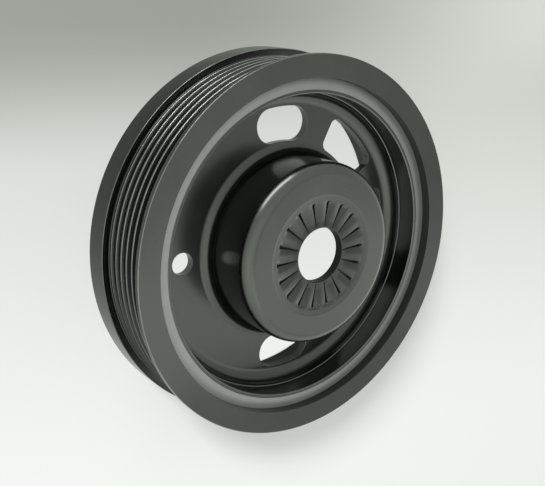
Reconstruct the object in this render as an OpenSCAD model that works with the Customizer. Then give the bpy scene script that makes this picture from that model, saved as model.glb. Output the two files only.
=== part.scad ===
// Harmonic balancer: a torsional vibration damper that is also the crankshaft's belt pulley.
// Millimetres. The axis is +Z, the rear face lies on the plane z = 0, and the boss faces up.
// The windows are mirrored about the X axis, and the small round hole lies on the -X side.

/* [Pulley ring] */
// Diameter over the two belt flanges
ring_d = 136; // [134:0.5:140]
// Width of the ring from its rear face to its front face
ring_w = 33.4; // [33:0.1:36]
// Bore of the ring, where the elastomer is bonded
ring_bore_d = 120; // [118:0.5:121]
// Size of the small bevels along the ring's edges
ring_bevel = 0.4; // [0.2:0.1:0.5]

/* [Belt grooves] */
// Number of grooves
groove_count = 5; // [3:1:5]
// Distance from groove to groove
groove_pitch = 3.56; // [3.4:0.01:3.6]
// Angle between a groove's two walls
groove_angle = 40; // [36:1:44]
// Depth of a groove below the ribs' tips
groove_depth = 2.8; // [2.4:0.1:3]
// Width of the flat tip of a rib
rib_tip_w = 0.7; // [0.5:0.1:0.9]
// Height of the flanges above the ribs' tips
flange_h = 2.6; // [2:0.1:2.8]
// Distance from the front face to the first rib's tip
first_tip = 5.5; // [5.4:0.1:6]

/* [Elastomer] */
// Depth of the elastomer's front face below the ring's front face
rubber_front_gap = 3; // [2.5:0.1:4]
// Height of the elastomer's rear face above the ring's rear face
rubber_rear_gap = 2.4; // [2:0.1:3]

/* [Hub] */
// Thickness of the sheet that the hub is drawn from
sheet_t = 3; // [2.8:0.1:3.2]
// Outer radius of the hub's rim, where the elastomer is bonded
rim_r = 57.2; // [57:0.1:58]
// Height of the rim's rear edge above the ring's rear face
rim_rear_gap = 1.6; // [1.4:0.1:2]
// Height of the web's front face
web_z = 17.7; // [17:0.1:19]
// Outer radius of the boss
boss_r = 32.4; // [32:0.1:33]
// Height of the boss's front face
boss_z = 39.85; // [39:0.05:41]
// Radius of the rounded edge round the boss's front face
boss_round = 4.1; // [3.5:0.1:4.5]
// Radius of the fillet between the boss and the web
neck_fillet = 4; // [3.5:0.1:4.1]
// Radius of the fillet between the web and the rim
rim_fillet = 4.8; // [4:0.1:4.8]

/* [Bolt seat] */
// Diameter of the hole for the crankshaft bolt
bolt_hole_d = 19.4; // [18:0.1:20]
// Outer radius of the seat's rounded step
seat_r = 21.6; // [21.2:0.1:22]
// Depth of the seat below the boss's front face
seat_depth = 0.95; // [0.8:0.05:1]
// Number of radial serrations
serration_count = 18; // [12:1:24]
// Depth of a serration at its outer end
serration_depth = 1.1; // [0.9:0.1:1.2]
// Width of a serration at its outer end
serration_w = 1.5; // [1.2:0.1:1.6]

/* [Windows] */
// Inner radius of the windows
window_r1 = 36.5; // [36.5:0.1:37.5]
// Outer radius of the windows
window_r2 = 48.9; // [48:0.1:49.2]
// Angle that each of the three middle windows spans
middle_span = 32; // [26:1:33]
// Angle that each of the two end windows spans
end_span = 29.6; // [26:0.2:33]
// Corner radius of the middle windows
middle_corner = 2.9; // [2:0.1:4]
// Corner radius of the end windows, which have round ends
end_corner = 6; // [4:0.1:6]
// Diameter of the small round hole opposite the windows
pin_hole_d = 7.8; // [6:0.1:9]
// Radius at which the small round hole lies
pin_hole_r = 42.7; // [42:0.1:43.5]

/* [Hidden] */
$fn = 180;
cut = 1;
window_pitch = 45;

// Ring
ring_r = ring_d / 2;
ring_bore_r = ring_bore_d / 2;
tip_r = ring_r - flange_h;
first_tip_z = ring_w - first_tip;
last_tip_z = first_tip_z - groove_count * groove_pitch;
groove_top_w = groove_pitch - rib_tip_w;
groove_root_w = groove_top_w - 2 * groove_depth * tan(groove_angle / 2);
front_flange_w = 2;
rear_track_w = 1.3;
rear_flange_front_z = last_tip_z - rear_track_w;

// Hub
rim_t = 2.8;
rim_front_z = ring_w - rubber_front_gap;
rim_edge = 0.5;
rim_front_w = 1.2;
rim_bevel = rim_t - rim_front_w;
ledge = 0.3;
ledge_z = web_z + rim_fillet;
rear_fillet = 3;
web_rear_z = web_z - sheet_t;
bend_r = neck_fillet + sheet_t;
cup_r = boss_r - sheet_t;
cup_z = boss_z - sheet_t;
seat_z = boss_z - seat_depth;
seat_t = 3.2;
seat_rear_z = seat_z - seat_t;
seat_slope = 2.4;
bolt_hole_r = bolt_hole_d / 2;
hole_bevel = 0.3;
serration_in_gap = 0.7;
serration_out_gap = 0.2;
serration_r1 = bolt_hole_r + serration_in_gap;
serration_r2 = seat_r - seat_slope - serration_out_gap;
serration_fall = 0.6;
serration_tilt = asin(serration_fall / (serration_r2 - serration_r1));

// Points along an arc, both ends included
function arc(c, r, a0, a1, n = 6) = [
    for (i = [0:n])
        let (a = a0 + (a1 - a0) * i / n)
        c + r * [cos(a), sin(a)]
];

// Points along an arc, without its ends
function arc_inside(c, r, a0, a1, n = 8) = [
    for (i = [1:n - 1])
        let (a = a0 + (a1 - a0) * i / n)
        c + r * [cos(a), sin(a)]
];

// One groove's four corners, from front to rear
function groove(z) = [
    [tip_r, z + groove_top_w / 2],
    [tip_r - groove_depth, z + groove_root_w / 2],
    [tip_r - groove_depth, z - groove_root_w / 2],
    [tip_r, z - groove_top_w / 2]
];

// Outline of a window that spans the angle a, with corners of radius c
function window_outline(a, c) =
    let (
        h = a / 2,
        h_out = h - asin(c / (window_r2 - c)),
        h_in = h - asin(c / (window_r1 + c)),
        out_c = window_r2 - c,
        in_c = window_r1 + c
    )
    concat(
        arc_inside([0, 0], window_r2, -h_out, h_out),
        arc(out_c * [cos(h_out), sin(h_out)], c, h_out, h + 90),
        arc(in_c * [cos(h_in), sin(h_in)], c, h + 90, h_in + 180),
        arc_inside([0, 0], window_r1, h_in, -h_in),
        arc(in_c * [cos(h_in), -sin(h_in)], c, 180 - h_in, 270 - h),
        arc(out_c * [cos(h_out), -sin(h_out)], c, 270 - h, 360 - h_out)
    );

// A hole through the web that follows the outline of a window
module window(a, c) {
    translate([0, 0, web_rear_z - cut])
        linear_extrude(sheet_t + neck_fillet + 2 * cut)
            polygon(window_outline(a, c));
}

// One V-shaped serration along +X, pressed into the bolt seat, which gets deeper and wider outwards
module serration() {
    translate([serration_r1, 0, seat_z + serration_fall])
        rotate([0, serration_tilt, 0])
            rotate([90, 0, 90])
                linear_extrude(serration_r2 - serration_r1)
                    polygon([
                        [-serration_w, serration_depth],
                        [0, -serration_depth],
                        [serration_w, serration_depth]
                    ]);
}

// The hub's section, from the bolt hole out to the rim and back along the rear
module hub_section() {
    polygon(concat(
        [
            [bolt_hole_r, seat_z - hole_bevel],
            [bolt_hole_r + hole_bevel, seat_z],
            [seat_r - seat_slope, seat_z],
            [seat_r, boss_z]
        ],
        arc([boss_r - boss_round, boss_z - boss_round], boss_round, 90, 0),
        arc([boss_r + neck_fillet, web_z + neck_fillet], neck_fillet, 180, 270),
        arc([rim_r - rim_t - ledge - rim_fillet, ledge_z], rim_fillet, 270, 360),
        [[rim_r - rim_t, ledge_z + ledge / 2]],
        arc([rim_r - rim_t + rim_edge, rim_front_z - rim_edge], rim_edge, 180, 90, 3),
        [
            [rim_r - rim_bevel - rim_edge / 2, rim_front_z],
            [rim_r - rim_bevel, rim_front_z - rim_edge],
            [rim_r, rim_front_z - rim_edge - rim_bevel],
            [rim_r, rim_rear_gap + rim_edge],
            [rim_r - rim_edge, rim_rear_gap],
            [rim_r - rim_t + rim_edge, rim_rear_gap],
            [rim_r - rim_t, rim_rear_gap + rim_edge]
        ],
        arc([rim_r - rim_t - rear_fillet, web_rear_z - rear_fillet], rear_fillet, 0, 90, 4),
        arc([cup_r + bend_r, web_rear_z + bend_r], bend_r, 270, 180),
        arc([boss_r - boss_round, boss_z - boss_round], boss_round - sheet_t, 0, 90, 3),
        [
            [seat_r + hole_bevel, cup_z],
            [seat_r - seat_slope, seat_rear_z],
            [bolt_hole_r, seat_rear_z]
        ]
    ));
}

// Drawn steel hub: serrated boss, pierced web and rim in one piece
module hub() {
    color("dimgray")
        difference() {
            rotate_extrude()
                hub_section();
            for (i = [-1:1])
                rotate(i * window_pitch)
                    window(middle_span, middle_corner);
            for (i = [-2, 2])
                rotate(i * window_pitch)
                    window(end_span, end_corner);
            translate([-pin_hole_r, 0, web_rear_z - cut])
                cylinder(h = sheet_t + 2 * cut, d = pin_hole_d);
            for (i = [0:serration_count - 1])
                rotate(i * 360 / serration_count)
                    serration();
        }
}

// Elastomer ring, bonded to the hub's rim inside and to the pulley ring outside
module rubber_ring() {
    color("darkgray")
        rotate_extrude()
            polygon([
                [rim_r - rim_bevel, rim_front_z - rim_edge],
                [rim_r - rim_bevel + rim_edge / 2, rim_front_z],
                [ring_bore_r, rim_front_z],
                [ring_bore_r, rubber_rear_gap],
                [rim_r, rubber_rear_gap],
                [rim_r, rim_front_z - rim_edge - rim_bevel]
            ]);
}

// Inertia ring with the belt track between its two flanges
module pulley_ring() {
    color("gray")
        rotate_extrude()
            polygon(concat(
                [
                    [ring_bore_r, ring_w - ring_bevel],
                    [ring_bore_r + ring_bevel, ring_w],
                    [ring_r - ring_bevel, ring_w],
                    [ring_r, ring_w - ring_bevel],
                    [ring_r, ring_w - front_flange_w],
                    [ring_r - 2 * ring_bevel, ring_w - front_flange_w - 2 * ring_bevel],
                    [tip_r, first_tip_z + groove_pitch / 4]
                ],
                [
                    for (i = [0:groove_count - 1])
                        each groove(first_tip_z - (i + 0.5) * groove_pitch)
                ],
                [
                    [tip_r, rear_flange_front_z],
                    [ring_r - ring_bevel / 2, rear_flange_front_z - ring_bevel / 2],
                    [ring_r, rear_flange_front_z - ring_bevel],
                    [ring_r, ring_bevel],
                    [ring_r - ring_bevel, 0],
                    [ring_bore_r + ring_bevel, 0],
                    [ring_bore_r, ring_bevel]
                ]
            ));
}

hub();
rubber_ring();
pulley_ring();
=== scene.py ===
import math

import bpy
from mathutils import Matrix, Vector
from mathutils.geometry import delaunay_2d_cdt


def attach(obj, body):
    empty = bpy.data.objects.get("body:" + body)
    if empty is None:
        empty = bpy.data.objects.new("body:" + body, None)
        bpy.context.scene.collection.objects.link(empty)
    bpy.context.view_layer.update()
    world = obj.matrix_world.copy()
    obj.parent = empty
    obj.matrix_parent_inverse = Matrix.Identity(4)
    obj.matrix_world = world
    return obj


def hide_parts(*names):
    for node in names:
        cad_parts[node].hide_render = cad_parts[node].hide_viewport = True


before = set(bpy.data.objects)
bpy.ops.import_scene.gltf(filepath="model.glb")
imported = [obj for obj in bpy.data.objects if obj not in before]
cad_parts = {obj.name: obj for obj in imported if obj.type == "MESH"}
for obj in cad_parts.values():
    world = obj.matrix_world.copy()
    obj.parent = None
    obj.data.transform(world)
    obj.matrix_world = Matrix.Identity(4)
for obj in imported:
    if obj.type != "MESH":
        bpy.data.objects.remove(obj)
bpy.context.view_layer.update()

# Lengths are in millimetres until a mesh is made, in the part's own frame: the axis is +Z.
MM = 0.001

# Camera, fitted to the coaxial circles of the photograph. The fit has its own X axis, which lies
# TURN away from the part's.
LENS = 56.70
SENSOR = 36.0
SHIFT = (-0.0010, 0.0008)
CLIP_START = 0.01
CLIP_END = 10
TURN = math.radians(28.2)
FRONT_Z = 33.4
EYE = (-205.595, -2.3405, 219.828 + FRONT_Z)
RIGHT = (0.70483, 0.37257, 0.60366)
DOWN = (0.28298, -0.92800, 0.24235)
FORWARD = (0.65049, 0.0, -0.75952)

# Resolution: steps round the axis, outwards on the bolt seat, and along arcs. A rounding of less
# than SMALL_R has longer steps. NEAR tells whether two heights are the same.
TURNS = 360
FINE = 2 * TURNS
SEAT_STEPS = 56
ARC_STEP = math.radians(9)
SMALL_ARC_STEP = math.radians(15)
SMALL_R = 0.6
LEAST_STEPS = 4
WINDOW_STEPS = 24
CORNER_STEPS = 12
HOLE_STEPS = 64
NEAR = 1e-3

# Hub
BORE_R = 9.7
BORE_REAR_Z = 35.7
BORE_REAR_EDGE_R = 19.2
SEAT_Z = 38.9
SEAT_R = 21.6
SEAT_EDGE_R = 21.45
SEAT_EDGE_Z = 39.79
BOSS_R = 32.4
BOSS_Z = 39.85
BOSS_ROUND = 4.1
NECK_FILLET = 4.0
NECK_END_R = 36.3
WEB_Z = 17.7
SHEET_T = 3.0
WEB_REAR_Z = WEB_Z - SHEET_T
RIM_FILLET = 4.8
RIM_FOOT_R = 54.1
RIM_IN_R = 54.4
RIM_OUT_R = 57.2
LEDGE_Z = 22.7
RIM_FRONT_Z = 30.4
RIM_FRONT_R = 55.7
RIM_REAR_Z = 1.6
REAR_FILLET = 3.0
REAR_BEND = 7.0
CUP_R = 29.4
CUP_Z = 36.85
CUP_ROUND = 1.1
CUP_END_R = 21.9

# Bolt seat: a shallow dish whose serrations each lie at the bottom of a gentle valley. Outwards,
# a serration gets deeper from D1 to D2. Half its width is a share of its depth.
DISH_R = 12.0
DISH_POWER = 1.1
SERRATIONS = 18
SERRATION_R1 = 10.4
SERRATION_R2 = 19.0
SERRATION_D1 = 0.4
SERRATION_D2 = 0.9
SERRATION_HALF = 0.43
SHOULDER = 0.12
INNER_END = (SERRATION_R1 - 0.4, SERRATION_R1 + 0.1)
OUTER_END = (SERRATION_R2 - 0.15, SERRATION_R2 + 0.15)
VALLEY_DEPTH = 1.0
VALLEY_END = (SERRATION_R2 - 0.6, SERRATION_R2 + 0.6)

# Windows: middle angle, angle spanned and corner radius
WINDOWS = [(0, 32, 2.9), (45, 32, 2.9), (-45, 32, 2.9), (90, 29.6, 6.0), (-90, 29.6, 6.0)]
WINDOW_R1 = 36.55
WINDOW_R2 = 48.9
WINDOW_EDGE = 0.15
HOLE_R = 3.9
HOLE_X = -42.7
HOLE_EDGE = 0.2

# Elastomer: the corner it shares with the rim's bevel, and its own ends
BOND_R = 55.75
BOND_Z = 29.75
BEVEL_Z = 28.3
BAND_EDGE_R = 55.72
BAND_EDGE_Z = 30.38
BAND_MIDDLE_R = 57.6
BAND_MIDDLE_Z = 30.3
BAND_ROUND = 8.0
BAND_OUTER_Z = 29.8
BAND_REAR_Z = 2.4

# Ring
RING_R = 68.0
RING_BORE_R = 60.0
FRONT_FLANGE_Z = 31.7
FRONT_TRACK_Z = 28.9
REAR_TRACK_Z = 9.4
REAR_FLANGE_Z = 9.3
TIP_R = 65.4
FIRST_TIP_Z = 27.9
PITCH = 3.56
GROOVES = 5
GROOVE_DEPTH = 2.8
GROOVE_TOP_W = 2.86
GROOVE_ROOT_W = 0.82
TRACK_Z = FIRST_TIP_Z - GROOVES * PITCH / 2
TRACK_W = GROOVES * PITCH + 1

# Colours and finishes
HUB_COLOUR = (0.120, 0.129, 0.118)
RING_COLOUR = (0.101, 0.107, 0.099)
BAND_COLOUR = (0.118, 0.128, 0.115)
COAT_ROUGHNESS = 0.22
COAT_RELIEF = 0.001
BAND_ROUGHNESS = 0.45
BAND_RELIEF = 0.012
BAND_IOR = 2.4
BAND_EDGE_SHADE = -0.25
# Lighter edge marks on hub and ring, partly wear and partly painted highlight, and their gloss
HUB_WEAR_AND_SHEEN = 1.5
RING_WEAR_AND_SHEEN = 3.0
WEAR_GLOSS = -0.05

# Sizes of the finishes' blots, and how far they move the colour's level and the roughness
CLOUD_SIZE = 14
GRAIN_SIZE = 0.7
PATCH_SIZE = 2.5
RELIEF_SIZE = 0.5
BAND_CLOUD_SIZE = 6
BAND_GRAIN_SIZE = 0.45
COAT_REACH = 0.03
COAT_GRAIN_ROUGHNESS = 0.02
BAND_CLOUD_REACH = 0.07
BAND_GRAIN_REACH = 0.08
BAND_ROUGHNESS_REACH = 0.05

# A noise texture's output lies mostly between these two levels. The edge marks, partly wear and
# partly painted highlight, are full from PATCH_HIGH on.
NOISE_LOW = 0.3
NOISE_HIGH = 0.7
PATCH_HIGH = 0.6
PATCH_WEAR_AND_SHEEN = 0.7

# Levels of the hub's colour, where the boss's front is about 1: painted shade in the bolt hole,
# beside the serrations, on the web and on the rim, painted highlight on the boss's rounding and
# along the ledge, and the seat darker towards the bolt hole. The last level scales the edge marks,
# partly wear and partly painted highlight.
BORE_TONE = 0.18
SEAT_TONE = 0.6
SERRATION_TONE = 0.75
SERRATION_SHADE = (0.2, 0.6)
ROUNDING_TONE = 1.12
WEB_TONE = 0.85
WALL_TONE = 1.0
LEDGE_TONE = 1.2
RIM_TONE = 0.78
RIM_FRONT_TONE = 0.85
HUB_EDGE_WEAR_AND_SHEEN = 0.5

# Levels of the ring's colour and edge marks, where its front is about 1: painted shade on the
# bore, the flanges' outer faces and the grooves, painted highlight on the rib tips, and edge marks
# that are partly wear and partly painted highlight.
RING_BORE_TONE = 0.75
OUTSIDE_TONE = 0.52
GROOVE_TONE = 0.6
TIP_TONE = 1.2
TIP_WEAR_AND_SHEEN = 0.5
REAR_EDGE_WEAR_AND_SHEEN = 0.1
FRONT_EDGE_WEAR_AND_SHEEN = 0.55

# How much a coat's level varies round the axis as painted light, and the side on which it is
# lightest
BOSS_SIDE_LIGHT = (0.09, math.radians(75))
RING_SIDE_LIGHT = (0.22, math.radians(145))
BAND_SIDE_LIGHT = (0.22, math.radians(195))
GROOVE_SIDE_LIGHT = (0.5, math.radians(110))

# Painted highlight on the ring, most on its lit side: that side, and the least and most of each
# level round the axis. Then the side and depth of a painted shade on the rear flange's outer face,
# and the side on which the front edges' marks are brightest.
SHEEN_SIDE = math.radians(110)
FLANGE_SHEEN = (0.3, 2.0)
TIP_SHEEN = (0.45, 1.8)
TIP_EDGE_SHEEN = (0.3, 1.6)
EDGE_SHEEN = (0.2, 2.2)
REAR_DARK_SIDE = math.radians(140)
REAR_DARKENING = 0.4
FRONT_SHEEN_SIDE = math.radians(165)

# Floor, in metres. Its level falls across the view and towards the far left corner as painted
# shade. Each fall gives where it starts and ends, and the levels there.
FLOOR_SIZE = 6
FLOOR_SLANT = 0.18
FLOOR_FALL = (-0.115, 0.16, 0.93, 0.55)
CORNER_BACK = (0.031, 0.08, 0, 0.43)
CORNER_SIDE = (-0.033, 0.178, 1, -0.46)
FLOOR_DARK = (0.93, 1, 0.9, 1)
FLOOR_PALE = (0.98, 1, 0.975, 1)
FLOOR_LEVELS = (0.35, 0.9)
FLOOR_SHADE = 0.8

# Share of the floor that the camera and metal see as plain light: less in the part's lee, which
# lies towards +X and -Y and starts and ends in metres
GLOW = 1.0
GLOW_SHARE = 0.15
GLOW_SHARE_LIT = 0.8
LEE = 0.7
LEE_START = -0.02
LEE_END = 0.04

# Surroundings: their colour and even level, and broad lights by direction, narrowness and strength
AIR_COLOUR = (0.965, 1, 0.945, 1)
AIR_LEVEL = 0.5
SKY = [
    ((0, 0, 1), 6, 0.2),
    ((0, 1, 0), 6, 0.2),
    ((0.87, -0.48, 0.1), 20, 1.1),
    ((-0.65, -0.35, 0.67), 8, 0.5),
    ((0.2, -0.93, 0.3), 14, 0.4),
]

# Lamps: name, place, the point it faces, width and height in metres, level, and whether metal
# mirrors it
LAMPS = [
    ("overhead", (-0.15, 0.5, 0.09), (0, 0, 0.09), (0.42, 0.17), 4.0, True),
    ("below", (0.15, -0.12, 0.268), (0.15, 0, 0.268), (0.4, 0.2), 0.35, True),
    ("key", (-0.7, 1.0, 2.1), (0, 0, 0), (1.0, 1.0), 12.0, False),
    ("shadow", (-1.28, 1.375, 1.25), (0, 0, 0), (0.5, 0.5), 60.0, False),
]


def turned(v):
    """A direction or point of the fitted camera, turned into the part's frame."""
    return Matrix.Rotation(-TURN, 3, "Z") @ Vector(v)


def ramp(value, start, end):
    """0 up to start, 1 from end on, and in even proportion between them."""
    return min(max((value - start) / (end - start), 0), 1)


def rounded(corners):
    """Points along a closed section whose corners (r, z, radius) are rounded.

    Each point is (r, z, normal, mark), and mark is 1 on a small convex edge. The section runs so
    that its outside is on the left.
    """
    out = []
    count = len(corners)
    for i in range(count):
        before = Vector(corners[i - 1][:2])
        here = Vector(corners[i][:2])
        after = Vector(corners[(i + 1) % count][:2])
        radius = corners[i][2]
        a, b = (here - before).normalized(), (after - here).normalized()
        turn = math.atan2(a.x * b.y - a.y * b.x, a.dot(b))
        reach = radius * math.tan(abs(turn) / 2)
        side = 1 if turn > 0 else -1
        start = here - a * reach
        centre = start + Vector((-a.y, a.x)) * radius * side
        step = SMALL_ARC_STEP if radius < SMALL_R else ARC_STEP
        steps = max(LEAST_STEPS, math.ceil(abs(turn) / step))
        for k in range(steps + 1):
            spin = Matrix.Rotation(turn * k / steps, 2)
            p = centre + spin @ (start - centre)
            along = spin @ a
            small_convex = side < 0 and radius <= 1 and 0 < k < steps
            out.append((p.x, p.y, Vector((-along.y, along.x)), 1.0 if small_convex else 0.0))
    return out


class Shape:
    """Vertices with their normals and edge marks, and faces.

    The two functions give the colour's level and the edge marks' level (partly wear, partly
    painted highlight) at (r, angle, z).
    """

    def __init__(self):
        self.verts, self.normals, self.marks, self.faces = [], [], [], []
        self.tone = lambda r, a, z: 1.0
        self.wear_and_sheen = lambda r, a, z: 1.0

    def add(self, p, n, mark=0.0):
        """Adds a vertex and returns its number."""
        self.verts.append(tuple(p))
        self.normals.append(tuple(n))
        self.marks.append(mark)
        return len(self.verts) - 1

    def circle(self, r, z, normal, mark):
        """Adds a ring of vertices round the axis. normal is (outwards, up)."""
        ring = []
        for i in range(TURNS):
            a = 2 * math.pi * i / TURNS
            c, s = math.cos(a), math.sin(a)
            n = (normal[0] * c, normal[0] * s, normal[1])
            ring.append(self.add((r * c, r * s, z), n, mark))
        return ring

    def strip(self, a, b):
        """Quads between two closed rings of the same length."""
        count = len(a)
        for i in range(count):
            j = (i + 1) % count
            self.faces.append((a[i], b[i], b[j], a[j]))

    def widen(self, fine, coarse):
        """Joins a ring to one with half as many vertices outside it."""
        for i, here in enumerate(coarse):
            after = coarse[(i + 1) % len(coarse)]
            f = [fine[2 * i], fine[2 * i + 1], fine[(2 * i + 2) % len(fine)]]
            self.faces += [(f[0], here, f[1]), (f[1], here, after), (f[1], after, f[2])]

    def narrow(self, fine, coarse):
        """Joins a ring to one with half as many vertices inside it."""
        for i, here in enumerate(coarse):
            after = coarse[(i + 1) % len(coarse)]
            f = [fine[2 * i], fine[2 * i + 1], fine[(2 * i + 2) % len(fine)]]
            self.faces += [(here, f[0], f[1]), (here, f[1], after), (after, f[1], f[2])]

    def build(self, name):
        """Makes the object, whose mesh holds the edge and tone levels as attributes."""
        mesh = bpy.data.meshes.new(name)
        mesh.from_pydata([tuple(c * MM for c in v) for v in self.verts], [], self.faces)
        mesh.update()
        for p in mesh.polygons:
            p.use_smooth = True
        mesh.normals_split_custom_set_from_vertices(self.normals)
        places = [(math.hypot(x, y), math.atan2(y, x), z) for x, y, z in self.verts]
        tones = [self.tone(*place) for place in places]
        edges = [mark and mark * self.wear_and_sheen(*place) for mark, place in zip(self.marks, places)]
        for kind, values in (("edge", edges), ("tone", tones)):
            mesh.attributes.new(kind, "FLOAT", "POINT").data.foreach_set("value", values)
        obj = bpy.data.objects.new(name, mesh)
        bpy.context.collection.objects.link(obj)
        return obj


def lathe(shape, section, closed=True):
    """Turns a section's points round the axis, and returns their rings of vertices."""
    rings = [shape.circle(*point) for point in section]
    for a, b in zip(rings, rings[1:]):
        shape.strip(a, b)
    if closed:
        shape.strip(rings[-1], rings[0])
    return rings


def split(section, start, end):
    """The points of a section from the first that meets start to the next that meets end."""
    i = next(k for k, p in enumerate(section) if start(p))
    from_start = section[i:] + section[:i]
    j = next(k for k, p in enumerate(from_start) if k > 0 and end(p))
    return from_start[: j + 1]


def arc_points(centre, radius, a0, a1, steps):
    """Points along an arc with their outward normals, in the XY plane. Angles are in radians."""
    out = []
    for k in range(steps + 1):
        a = a0 + (a1 - a0) * k / steps
        c, s = math.cos(a), math.sin(a)
        out.append((Vector((centre[0] + radius * c, centre[1] + radius * s)), Vector((c, s))))
    return out


def window_outline(middle, span, corner):
    """A window's outline, counterclockwise, as points with normals that point into the sheet."""
    h = math.radians(span / 2)
    r_out, r_in = WINDOW_R2 - corner, WINDOW_R1 + corner
    h_out, h_in = h - math.asin(corner / r_out), h - math.asin(corner / r_in)
    q = math.pi / 2

    def round_corner(r, a, a0, a1):
        return arc_points((r * math.cos(a), r * math.sin(a)), corner, a0, a1, CORNER_STEPS)

    inner = arc_points((0, 0), WINDOW_R1, h_in, -h_in, WINDOW_STEPS)
    runs = [
        arc_points((0, 0), WINDOW_R2, -h_out, h_out, WINDOW_STEPS),
        round_corner(r_out, h_out, h_out, h + q),
        round_corner(r_in, h_in, h + q, h_in + 2 * q),
        [(p, -n) for p, n in inner],
        round_corner(r_in, -h_in, 2 * q - h_in, 3 * q - h),
        round_corner(r_out, -h_out, 3 * q - h, 4 * q - h_out),
    ]
    spin = Matrix.Rotation(math.radians(middle), 2)
    return [(spin @ p, spin @ n) for run in runs for p, n in run[:-1]]


def hole_outline():
    """The small round hole's outline."""
    return arc_points((HOLE_X, 0), HOLE_R, 0, 2 * math.pi, HOLE_STEPS)[:-1]


def pierce(shape, outline, edge):
    """The wall of a hole through the web with rounded edges. Returns its top and bottom rings."""
    steps = LEAST_STEPS
    levels = []
    for k in range(steps + 1):
        a = math.pi / 2 * k / steps
        flat, up = math.sin(a), math.cos(a)
        levels.append((edge * (1 - flat), WEB_Z - edge * (1 - up), flat, up))
    for k in range(steps + 1):
        a = math.pi / 2 * (1 - k / steps)
        flat, up = math.sin(a), math.cos(a)
        levels.append((edge * (1 - flat), WEB_REAR_Z + edge * (1 - up), flat, -up))
    rings = []
    for k, (off, z, flat, up) in enumerate(levels):
        mark = 0.0 if k in (0, steps, steps + 1, len(levels) - 1) else 1.0
        rings.append([
            shape.add((*(p + n * off), z), (-n.x * flat, -n.y * flat, up), mark)
            for p, n in outline
        ])
    for a, b in zip(rings, rings[1:]):
        shape.strip(b, a)
    return rings[0], rings[-1]


def inside(p, loop):
    """Whether a point lies inside a closed loop of points."""
    hit = False
    for a, b in zip([loop[-1]] + loop, loop):
        if (a.y > p.y) != (b.y > p.y) and p.x < (b.x - a.x) * (p.y - a.y) / (b.y - a.y) + a.x:
            hit = not hit
    return hit


def pierced_sheet(shape, inner, outer, holes, up):
    """Fills the flat ring between two circles of vertices, round the rings of the holes."""
    def flat_place(v):
        return Vector(shape.verts[v][:2])

    loops = [inner, outer] + holes
    ids = [v for loop in loops for v in loop]
    flat = [flat_place(v) for v in ids]
    edges, at = [], 0
    for loop in loops:
        edges += [(at + i, at + (i + 1) % len(loop)) for i in range(len(loop))]
        at += len(loop)
    least_r = flat[0].length * math.cos(math.pi / TURNS)
    hole_loops = [[flat_place(v) for v in loop] for loop in holes]
    verts, _, faces, origin, _, _ = delaunay_2d_cdt(flat, edges, [], 0, 1e-7)
    for f in faces:
        mid = sum((verts[v] for v in f), Vector((0, 0))) / 3
        if mid.length < least_r or any(inside(mid, loop) for loop in hole_loops):
            continue
        face = [ids[origin[v][0]] for v in f]
        a, b, c = (flat_place(v) for v in face)
        area = (b - a).cross(c - a)
        if (area > 0) != (up > 0):
            face.reverse()
        shape.faces.append(tuple(face))


def seat_off(r, a):
    """Distance along the circle of radius r from the nearest serration, at angle a."""
    pitch = 2 * math.pi / SERRATIONS
    return abs((a + pitch / 2) % pitch - pitch / 2) * r


def seat_height(r, a):
    """Height of the serrated bolt seat at radius r and angle a."""
    dish = SEAT_Z + (SEAT_EDGE_Z - SEAT_Z) * ramp(r, DISH_R, SEAT_EDGE_R) ** DISH_POWER
    off = seat_off(r, a)
    out = ramp(r, SERRATION_R1, SERRATION_R2)
    away = off * SERRATIONS / (math.pi * r)
    floor_z = dish - VALLEY_DEPTH * out * (1 - away) ** 2 * (1 - ramp(r, *VALLEY_END))
    depth = SERRATION_D1 + (SERRATION_D2 - SERRATION_D1) * out
    x = off / (SERRATION_HALF * depth)
    if x >= 1 + SHOULDER:
        return floor_z
    fall = (1 - x) if x < 1 - SHOULDER else (1 + SHOULDER - x) ** 2 / (4 * SHOULDER)
    return floor_z - depth * fall * ramp(r, *INNER_END) * (1 - ramp(r, *OUTER_END))


def painted_side_light(a, share, bright_side):
    """A level of painted light at angle a, a share higher on its bright side."""
    return 1 + share * math.cos(a - bright_side)


def lit_side_level(a, least, most):
    """A level of painted highlight that is most on the lit side and least on the other side."""
    return least + (most - least) * max(math.cos(a - SHEEN_SIDE), 0)


def hub_tone(r, a, z):
    """Level of the hub's colour by face or edge, with painted shade and painted highlight.

    The small margins keep a rounded edge with the face beside it.
    """
    if r < BORE_R + 0.1:
        return BORE_TONE
    if r <= SEAT_R:
        level = SEAT_TONE + (1 - SEAT_TONE) * ramp(r, BORE_R, SEAT_R) ** 2
        if SERRATION_R1 < r < SERRATION_R2:
            beside = ramp(seat_off(r, a), *SERRATION_SHADE)
            level *= SERRATION_TONE + (1 - SERRATION_TONE) * beside
        return level
    if WINDOW_R1 - 1 < r < WINDOW_R2 + 0.5 and WEB_REAR_Z + 0.1 < z < WEB_Z - 0.1:
        return WALL_TONE
    if r > RIM_IN_R - 0.4 and abs(z - LEDGE_Z) < 0.15:
        return LEDGE_TONE
    if z > BOSS_Z - BOSS_ROUND - 0.1:
        return painted_side_light(a, *BOSS_SIDE_LIGHT) * (1.0 if z > BOSS_Z - 0.1 else ROUNDING_TONE)
    if r < RIM_IN_R - 0.5:
        return WEB_TONE
    return RIM_FRONT_TONE if z > RIM_FRONT_Z - 0.3 else RIM_TONE


def hub_wear_and_sheen(r, a, z):
    """Edge marks, partly wear and partly painted highlight, which spare the bolt hole and the
    seat.
    """
    return 0.0 if r < SEAT_R + 1 else HUB_EDGE_WEAR_AND_SHEEN


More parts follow.
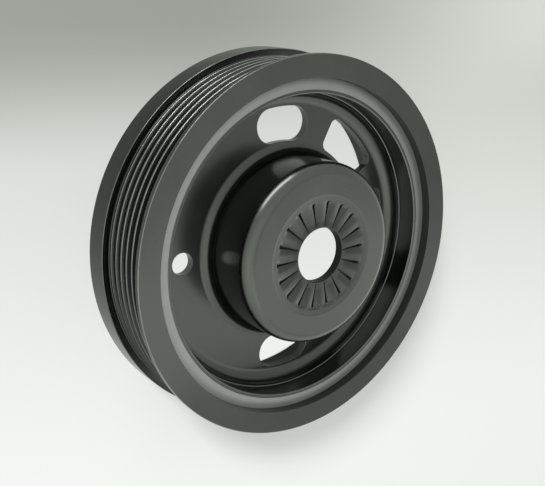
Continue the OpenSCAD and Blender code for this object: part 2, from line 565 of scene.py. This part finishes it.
def ring_tone(r, a, z):
    """Level of the ring's colour: painted shade on the bore, grooves and outer faces, painted
    highlight on the tips.
    """
    if z > FRONT_Z - 0.2:
        return painted_side_light(a, *RING_SIDE_LIGHT)
    if r < RING_BORE_R + 0.3:
        return RING_BORE_TONE
    if r > RING_R - 0.3:
        if z > TRACK_Z:
            return OUTSIDE_TONE * lit_side_level(a, *FLANGE_SHEEN)
        return OUTSIDE_TONE * (1 - REAR_DARKENING * max(math.cos(a - REAR_DARK_SIDE), 0) ** 4)
    if r < TIP_R - 0.1:
        return GROOVE_TONE * painted_side_light(a, *GROOVE_SIDE_LIGHT)
    if r < TIP_R + 0.05 and abs(z - TRACK_Z) < TRACK_W / 2:
        return TIP_TONE * lit_side_level(a, *TIP_SHEEN)
    return 1.0


def ring_wear_and_sheen(r, a, z):
    """Edge marks, partly wear and partly painted highlight: most on the flanges, ribs and lit
    side.
    """
    if z > FRONT_Z - 0.8:
        if r < RING_BORE_R + 1:
            return 0.0
        return min(max(0.25 + 1.3 * math.cos(a - FRONT_SHEEN_SIDE), 0), FRONT_EDGE_WEAR_AND_SHEEN)
    if r < RING_R - 0.8:
        return TIP_WEAR_AND_SHEEN * lit_side_level(a, *TIP_EDGE_SHEEN)
    return REAR_EDGE_WEAR_AND_SHEEN if z < 1 else lit_side_level(a, *EDGE_SHEEN)


def make_hub():
    """The drawn hub. Its section gives all but the web's faces, the windows and the bolt seat."""
    shape = Shape()
    shape.tone = hub_tone
    shape.wear_and_sheen = hub_wear_and_sheen
    section = rounded([
        (BORE_R, BORE_REAR_Z, 0.15),
        (BORE_R, SEAT_Z, 0.3),
        (DISH_R, SEAT_Z, 0.5),
        (SEAT_EDGE_R, SEAT_EDGE_Z, 0.02),
        (SEAT_R, BOSS_Z, 0.15),
        (BOSS_R, BOSS_Z, BOSS_ROUND),
        (BOSS_R, WEB_Z, NECK_FILLET),
        (RIM_FOOT_R, WEB_Z, RIM_FILLET),
        (RIM_FOOT_R, LEDGE_Z - 0.1, 0.08),
        (RIM_IN_R, LEDGE_Z + 0.05, 0.05),
        (RIM_IN_R, RIM_FRONT_Z, 0.5),
        (RIM_FRONT_R, RIM_FRONT_Z, 0.25),
        (BOND_R, BOND_Z, 0.05),
        (RIM_OUT_R, BEVEL_Z, 0.1),
        (RIM_OUT_R, RIM_REAR_Z, 0.5),
        (RIM_IN_R, RIM_REAR_Z, 0.5),
        (RIM_IN_R, WEB_REAR_Z, REAR_FILLET),
        (CUP_R, WEB_REAR_Z, REAR_BEND),
        (CUP_R, CUP_Z, CUP_ROUND),
        (CUP_END_R, CUP_Z, 0.3),
        (BORE_REAR_EDGE_R, BORE_REAR_Z, 0.6),
    ])
    # From the seat's outer edge over the boss and down the neck to the web
    front = split(
        section,
        lambda p: p[0] > SEAT_EDGE_R - NEAR and p[1] > SEAT_EDGE_Z - NEAR,
        lambda p: abs(p[1] - WEB_Z) < NEAR,
    )
    front = [p for p in front if not (p[1] < WEB_Z + 1 and p[0] > NECK_END_R)]
    front.append((NECK_END_R, WEB_Z, Vector((0, 1)), 0.0))
    front_rings = lathe(shape, front, closed=False)
    # Along the rim from the web's front to its rear
    rim = split(
        section,
        lambda p: abs(p[1] - WEB_Z) < NEAR and p[0] > WINDOW_R1,
        lambda p: abs(p[1] - WEB_REAR_Z) < NEAR,
    )
    rim_rings = lathe(shape, rim, closed=False)
    # From the web's rear up the inside of the cup and the bolt hole to the seat's inner edge
    rear = split(
        section,
        lambda p: abs(p[1] - WEB_REAR_Z) < NEAR and p[0] < WINDOW_R1 + 1,
        lambda p: p[0] < SERRATION_R1 and abs(p[1] - SEAT_Z) < NEAR,
    )
    rear = [p for p in rear if not (p[1] < WEB_Z and p[0] > NECK_END_R)]
    rear = [(NECK_END_R, WEB_REAR_Z, Vector((0, -1)), 0.0)] + rear
    rear_rings = lathe(shape, rear, closed=False)
    # The web's two faces, with the windows' walls between them
    tops, bottoms = [], []
    outlines = [(window_outline(*w), WINDOW_EDGE) for w in WINDOWS] + [(hole_outline(), HOLE_EDGE)]
    for outline, edge in outlines:
        top, bottom = pierce(shape, outline, edge)
        tops.append(top)
        bottoms.append(bottom)
    pierced_sheet(shape, front_rings[-1], rim_rings[0], tops, 1)
    pierced_sheet(shape, rear_rings[0], rim_rings[-1], bottoms, -1)
    # The serrated seat, from the bolt hole's edge to the boss. Its mesh gives its normals.
    r0, r1 = rear[-1][0], front[0][0]
    rings = []
    for k in range(1, SEAT_STEPS):
        r = r0 + (r1 - r0) * k / SEAT_STEPS
        ring = []
        for i in range(FINE):
            a = 2 * math.pi * i / FINE
            place = (r * math.cos(a), r * math.sin(a), seat_height(r, a))
            ring.append(shape.add(place, (0, 0, 0)))
        rings.append(ring)
    for a, b in zip(rings, rings[1:]):
        shape.strip(a, b)
    shape.widen(rings[-1], front_rings[0])
    shape.narrow(rings[0], rear_rings[-1])
    return shape.build("hub_shell")


def make_band():
    """The elastomer between the hub's rim and the ring."""
    shape = Shape()
    shape.tone = lambda r, a, z: painted_side_light(a, *BAND_SIDE_LIGHT)
    lathe(shape, rounded([
        (BOND_R, BOND_Z, 0.05),
        (BAND_EDGE_R, BAND_EDGE_Z, 0.08),
        (BAND_MIDDLE_R, BAND_MIDDLE_Z, BAND_ROUND),
        (RING_BORE_R, BAND_OUTER_Z, 0.1),
        (RING_BORE_R, BAND_REAR_Z, 0.2),
        (RIM_OUT_R, BAND_REAR_Z, 0.2),
        (RIM_OUT_R, BEVEL_Z, 0.2),
    ]))
    return shape.build("elastomer_band")


def make_ring():
    """The inertia ring with the belt track between its two flanges."""
    shape = Shape()
    shape.tone = ring_tone
    shape.wear_and_sheen = ring_wear_and_sheen
    corners = [
        (RING_BORE_R, FRONT_Z, 0.15),
        (RING_R, FRONT_Z, 0.25),
        (RING_R, FRONT_FLANGE_Z, 0.3),
        (TIP_R, FRONT_TRACK_Z, 0.3),
    ]
    for i in range(GROOVES):
        z = FIRST_TIP_Z - (i + 0.5) * PITCH
        corners += [
            (TIP_R, z + GROOVE_TOP_W / 2, 0.22),
            (TIP_R - GROOVE_DEPTH, z + GROOVE_ROOT_W / 2, 0.2),
            (TIP_R - GROOVE_DEPTH, z - GROOVE_ROOT_W / 2, 0.2),
            (TIP_R, z - GROOVE_TOP_W / 2, 0.22),
        ]
    corners += [
        (TIP_R, REAR_TRACK_Z, 0.3),
        (RING_R, REAR_FLANGE_Z, 0.3),
        (RING_R, 0, 0.4),
        (RING_BORE_R, 0, 0.4),
    ]
    lathe(shape, rounded(corners))
    return shape.build("belt_ring")


def link(tree, source, target):
    """Joins an output to an input, or sets the input where source is a number or a colour."""
    if isinstance(source, bpy.types.NodeSocket):
        tree.links.new(source, target)
    elif source is not None:
        target.default_value = source


def maths(tree, operation, a, b=None, c=None):
    """The output of a Math node."""
    node = tree.nodes.new("ShaderNodeMath")
    node.operation = operation
    for value, socket in zip((a, b, c), node.inputs):
        link(tree, value, socket)
    return node.outputs[0]


def remap(tree, value, from_min, from_max, to_min, to_max, smooth=True):
    """The output of a Map Range node, which stays between its two ends."""
    node = tree.nodes.new("ShaderNodeMapRange")
    node.interpolation_type = "SMOOTHSTEP" if smooth else "LINEAR"
    for source, socket in zip((value, from_min, from_max, to_min, to_max), node.inputs):
        link(tree, source, socket)
    return node.outputs[0]


def noise(tree, vector, size, detail=2.0, roughness=0.5):
    """The output of a Noise node, about 0.5 on average, whose blots are about size mm across."""
    node = tree.nodes.new("ShaderNodeTexNoise")
    link(tree, vector, node.inputs["Vector"])
    node.inputs["Scale"].default_value = 1 / (size * MM)
    node.inputs["Detail"].default_value = detail
    node.inputs["Roughness"].default_value = roughness
    return node.outputs["Fac"]


def spread(tree, value, middle, reach):
    """A noise's output, spread evenly over reach to either side of middle."""
    return remap(tree, value, NOISE_LOW, NOISE_HIGH, middle - reach, middle + reach, False)


def tint(tree, colour, level):
    """A colour times a level."""
    node = tree.nodes.new("ShaderNodeVectorMath")
    node.operation = "SCALE"
    link(tree, colour, node.inputs[0])
    link(tree, level, node.inputs["Scale"])
    return node.outputs[0]


def attribute(tree, name):
    """A level that the mesh holds at each vertex."""
    node = tree.nodes.new("ShaderNodeAttribute")
    node.attribute_name = name
    return node.outputs["Fac"]


def blank(name):
    """A new material, with its tree, shader and coordinates in the part's frame."""
    mat = bpy.data.materials.new(name)
    mat.use_nodes = True
    tree = mat.node_tree
    place = tree.nodes.new("ShaderNodeTexCoord").outputs["Object"]
    return mat, tree, tree.nodes["Principled BSDF"], place


def bump(tree, shader, height, depth):
    """Gives a shader a relief, whose height runs from 0 to 1 over depth mm."""
    node = tree.nodes.new("ShaderNodeBump")
    node.inputs["Distance"].default_value = depth * MM
    link(tree, height, node.inputs["Height"])
    link(tree, node.outputs[0], shader.inputs["Normal"])


def coated_metal(name, colour, edge_wear_and_sheen):
    """Thin dark satin coating on metal, lighter along the edges as wear and painted highlight."""
    mat, tree, shader, place = blank(name)
    clouds = noise(tree, place, CLOUD_SIZE, 3)
    grain = noise(tree, place, GRAIN_SIZE)
    patches = noise(tree, place, PATCH_SIZE, 3)
    patches = remap(tree, patches, NOISE_LOW, PATCH_HIGH, PATCH_WEAR_AND_SHEEN, 1)
    wear_and_sheen = maths(tree, "MULTIPLY", attribute(tree, "edge"), patches)
    cloudy = spread(tree, clouds, 1, COAT_REACH)
    level = maths(tree, "MULTIPLY", cloudy, attribute(tree, "tone"))
    level = maths(tree, "MULTIPLY", level, spread(tree, grain, 1, COAT_REACH))
    level = maths(tree, "MULTIPLY", level, maths(tree, "MULTIPLY_ADD", wear_and_sheen, edge_wear_and_sheen, 1.0))
    link(tree, tint(tree, colour, level), shader.inputs["Base Color"])
    rough = spread(tree, clouds, COAT_ROUGHNESS, COAT_REACH)
    rough = maths(tree, "ADD", rough, spread(tree, grain, 0, COAT_GRAIN_ROUGHNESS))
    link(tree, maths(tree, "MULTIPLY_ADD", wear_and_sheen, WEAR_GLOSS, rough), shader.inputs["Roughness"])
    shader.inputs["Metallic"].default_value = 1.0
    bump(tree, shader, noise(tree, place, RELIEF_SIZE), COAT_RELIEF)
    return mat


def grey_rubber(name, colour):
    """Moulded elastomer with a pale bonding film on its faces."""
    mat, tree, shader, place = blank(name)
    clouds = noise(tree, place, BAND_CLOUD_SIZE, 3)
    grain = noise(tree, place, BAND_GRAIN_SIZE, 3, 0.6)
    cloudy = spread(tree, clouds, 1, BAND_CLOUD_REACH)
    level = maths(tree, "MULTIPLY", cloudy, spread(tree, grain, 1, BAND_GRAIN_REACH))
    edge = maths(tree, "MULTIPLY_ADD", attribute(tree, "edge"), BAND_EDGE_SHADE, 1.0)
    level = maths(tree, "MULTIPLY", level, edge)
    level = maths(tree, "MULTIPLY", level, attribute(tree, "tone"))
    link(tree, tint(tree, colour, level), shader.inputs["Base Color"])
    rough = spread(tree, grain, BAND_ROUGHNESS, BAND_ROUGHNESS_REACH)
    link(tree, rough, shader.inputs["Roughness"])
    shader.inputs["IOR"].default_value = BAND_IOR
    bump(tree, shader, grain, BAND_RELIEF)
    return mat


def studio_floor(name):
    """Pale floor, with painted shade that darkens it towards its far left corner.

    The camera, metal and glass see part of it as plain light, so that the shadow stays soft.
    """
    mat, tree, shader, place = blank(name)
    parts = tree.nodes.new("ShaderNodeSeparateXYZ")
    link(tree, place, parts.inputs[0])
    x, y = parts.outputs["X"], parts.outputs["Y"]
    level = remap(tree, maths(tree, "MULTIPLY_ADD", x, FLOOR_SLANT, y), *FLOOR_FALL)
    corner = maths(tree, "MULTIPLY", remap(tree, y, *CORNER_BACK), remap(tree, x, *CORNER_SIDE))
    level = maths(tree, "MULTIPLY", level, maths(tree, "SUBTRACT", 1.0, corner))
    mix = tree.nodes.new("ShaderNodeMix")
    mix.data_type = "RGBA"
    link(tree, remap(tree, level, *FLOOR_LEVELS, 0, 1), mix.inputs["Factor"])
    mix.inputs["A"].default_value = FLOOR_DARK
    mix.inputs["B"].default_value = FLOOR_PALE
    colour = tint(tree, mix.outputs["Result"], level)
    link(tree, tint(tree, colour, FLOOR_SHADE), shader.inputs["Base Color"])
    shader.inputs["Roughness"].default_value = 1.0
    shader.inputs["Specular IOR Level"].default_value = 0.0
    glow = tree.nodes.new("ShaderNodeEmission")
    link(tree, colour, glow.inputs["Color"])
    glow.inputs["Strength"].default_value = GLOW
    # Seen through the hub's openings, the floor is all plain light
    rays = tree.nodes.new("ShaderNodeLightPath")
    glossy, through = rays.outputs["Is Glossy Ray"], rays.outputs["Is Transmission Ray"]
    mirrored = maths(tree, "MAXIMUM", glossy, through)
    away = tree.nodes.new("ShaderNodeVectorMath")
    away.operation = "LENGTH"
    link(tree, place, away.inputs[0])
    lee = maths(tree, "MULTIPLY_ADD", x, LEE, maths(tree, "MULTIPLY", y, -LEE))
    outside = remap(tree, lee, LEE_START, LEE_END, GLOW_SHARE_LIT, GLOW_SHARE)
    share = remap(tree, away.outputs["Value"], RIM_IN_R * MM, RING_BORE_R * MM, 1, outside)
    share = maths(tree, "MULTIPLY", rays.outputs["Is Camera Ray"], share)
    share = maths(tree, "MULTIPLY_ADD", mirrored, outside, share)
    both = tree.nodes.new("ShaderNodeMixShader")
    link(tree, share, both.inputs["Fac"])
    link(tree, shader.outputs[0], both.inputs[1])
    link(tree, glow.outputs[0], both.inputs[2])
    link(tree, both.outputs[0], tree.nodes["Material Output"].inputs["Surface"])
    return mat


def studio_world(base, lobes):
    """Even surroundings, with a broad lobe of more light in each of some directions."""
    world = bpy.data.worlds.new("world")
    world.use_nodes = True
    tree = world.node_tree
    way = tree.nodes.new("ShaderNodeTexCoord").outputs["Generated"]
    level = base
    for direction, power, strength in lobes:
        dot = tree.nodes.new("ShaderNodeVectorMath")
        dot.operation = "DOT_PRODUCT"
        link(tree, way, dot.inputs[0])
        dot.inputs[1].default_value = Vector(direction).normalized()
        half = maths(tree, "MULTIPLY_ADD", dot.outputs["Value"], 0.5, 0.5)
        lobe = maths(tree, "POWER", maths(tree, "MAXIMUM", half, 0.0), power)
        level = maths(tree, "MULTIPLY_ADD", lobe, strength, level)
    sky = tree.nodes["Background"]
    sky.inputs["Color"].default_value = AIR_COLOUR
    link(tree, level, sky.inputs["Strength"])
    return world


def softbox(name, place, aim, size, level, mirrored):
    """A rectangular lamp of an even level, where 1 is white, that points at aim.

    One kind is seen only mirrored in metal, as a studio's reflectors are, and the other isn't
    mirrored at all.
    """
    lamp = bpy.data.objects.new(name, bpy.data.lights.new(name, "AREA"))
    bpy.context.collection.objects.link(lamp)
    lamp.location = place
    lamp.rotation_euler = (Vector(aim) - Vector(place)).to_track_quat("-Z", "Y").to_euler()
    lamp.data.shape = "RECTANGLE"
    lamp.data.size, lamp.data.size_y = size
    lamp.data.energy = level * size[0] * size[1] * math.pi
    lamp.visible_camera = False
    lamp.visible_glossy = mirrored
    lamp.visible_diffuse = not mirrored
    return lamp


def light_only(lamp, objects):
    """Keeps a lamp's light to some objects. The others still throw its shadows."""
    lit = bpy.data.collections.new(lamp.name + "_lights")
    for obj in objects:
        lit.objects.link(obj)
    lamp.light_linking.receiver_collection = lit


# The part
hub_coat = coated_metal("hub_coat", HUB_COLOUR, HUB_WEAR_AND_SHEEN)
ring_coat = coated_metal("ring_coat", RING_COLOUR, RING_WEAR_AND_SHEEN)
film = grey_rubber("elastomer", BAND_COLOUR)
hub = make_hub()
band = make_band()
ring = make_ring()
for piece, node, slot, mat in (
    (hub, "hub", "coated_steel", hub_coat),
    (band, "rubber_ring", "elastomer", film),
    (ring, "pulley_ring", "coated_iron", ring_coat),
):
    piece.data.materials.append(mat)
    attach(piece, "root")
    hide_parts(node)

# The camera
cam = bpy.data.objects.new("camera", bpy.data.cameras.new("camera"))
bpy.context.collection.objects.link(cam)
right, down, forward = (turned(v).normalized() for v in (RIGHT, DOWN, FORWARD))
axes = Matrix((right, -down, -forward)).transposed()
cam.matrix_world = Matrix.Translation(turned(EYE) * MM) @ axes.to_4x4()
cam.data.lens = LENS
cam.data.sensor_width = SENSOR
cam.data.shift_x, cam.data.shift_y = SHIFT
cam.data.clip_start = CLIP_START
cam.data.clip_end = CLIP_END
bpy.context.scene.camera = cam
bpy.context.scene.view_settings.view_transform = "Standard"

# The studio
bpy.context.scene.world = studio_world(AIR_LEVEL, SKY)
bpy.ops.mesh.primitive_plane_add(size=FLOOR_SIZE, location=(0, 0, 0))
floor = bpy.context.object
floor.name = "floor"
floor.data.materials.append(studio_floor("floor"))
lamps = {lamp[0]: softbox(*lamp) for lamp in LAMPS}
light_only(lamps["key"], (hub, band, ring))
light_only(lamps["shadow"], (floor,))
